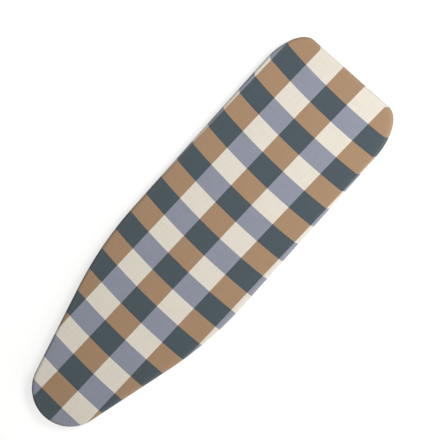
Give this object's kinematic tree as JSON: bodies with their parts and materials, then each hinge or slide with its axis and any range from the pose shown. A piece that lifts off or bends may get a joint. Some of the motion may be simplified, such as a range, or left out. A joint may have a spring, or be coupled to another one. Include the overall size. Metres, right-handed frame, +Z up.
{
  "type": "ironing board cover",
  "caption": "Fitted ironing board cover in checked cotton over foam and felt, with a bound hem that a cord and a sprung cord lock draw in under the board.",
  "frame": {"origin": "middle of the cover's plan, on the surface that the hem rests on", "axes": "+X along the board from the square tail to the rounded nose, +Y across it, +Z up out of the ironing side"},
  "size_m": [1.2, 0.385, 0.0356],
  "materials": {
    "printed_cotton": "plain-woven cotton, printed in a check of brown, slate, cream and lilac grey",
    "pad_foam": "soft open-cell polyurethane foam sheet",
    "needle_felt": "needle-punched off-white felt",
    "bias_tape": "cream cotton bias tape, stitched",
    "braided_cord": "white braided polyester cord",
    "lock_plastic": "moulded slate-grey acetal",
    "spring_steel": "bright spring wire"
  },
  "bodies": {
    "cover": {"cover_fabric": "printed_cotton", "foam_pad": "pad_foam", "felt_underlay": "needle_felt", "hem_binding": "bias_tape", "draw_cord": "braided_cord"},
    "cord_lock": {"cord_lock_body": "lock_plastic", "cord_lock_spring": "spring_steel"},
    "plunger": {"cord_lock_plunger": "lock_plastic"}
  },
  "joints": [
    {"name": "cord_lock_slide", "type": "slide", "parent": "cover", "child": "cord_lock", "axis": [1, 0, 0], "range_m": [0, 0.025]},
    {"name": "plunger_press", "type": "slide", "parent": "cord_lock", "child": "plunger", "axis": [0, -1, 0], "range_m": [0, 0.003], "stiffness_N_per_m": 1000, "springref_m": -0.004, "deforming": ["cord_lock_spring"]}
  ]
}
